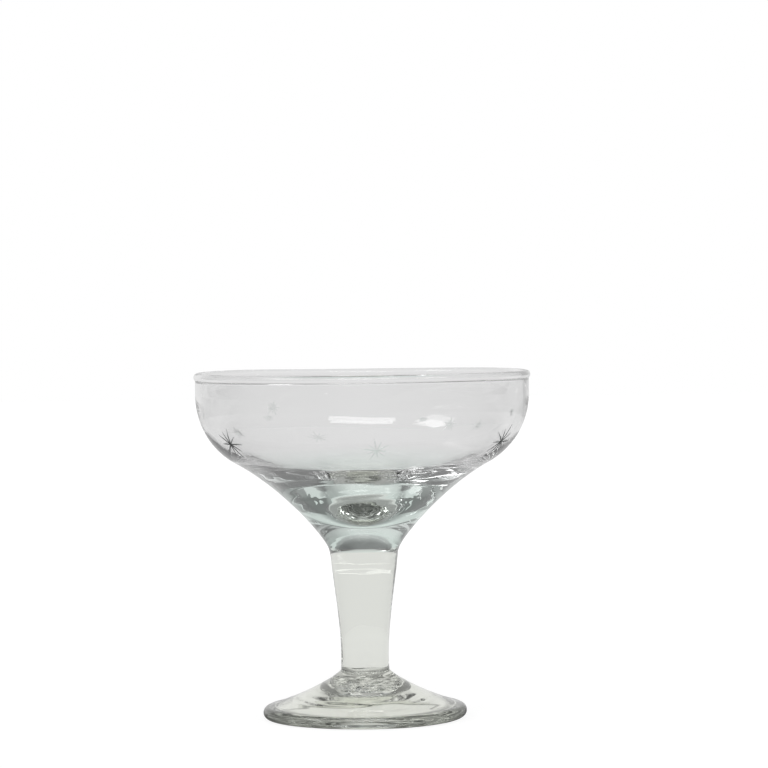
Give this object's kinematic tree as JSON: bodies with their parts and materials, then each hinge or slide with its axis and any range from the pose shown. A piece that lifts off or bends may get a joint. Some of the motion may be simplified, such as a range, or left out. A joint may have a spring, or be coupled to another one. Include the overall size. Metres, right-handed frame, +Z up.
{
  "type": "champagne coupe",
  "caption": "Wide shallow stemmed drinking glass of hand-blown clear glass, with a round shoulder, a solid tapering stem, a low conical foot and small cut stars.",
  "frame": {"origin": "on the table, on the axis of the glass, in the plane of the ring that it rests on", "axes": "+Z up along the axis of the glass from foot to rim; +X and +Y any two square directions across it"},
  "size_m": [0.0998, 0.0998, 0.103],
  "materials": {
    "bowl_glass": "blown, fire-polished, wheel-cut stars",
    "stem_glass": "drawn, fire-polished",
    "foot_glass": "pressed, fire-polished, rough pontil scar underneath"
  },
  "bodies": {
    "root": {"bowl": "bowl_glass", "stem": "stem_glass", "foot": "foot_glass"}
  },
  "joints": []
}
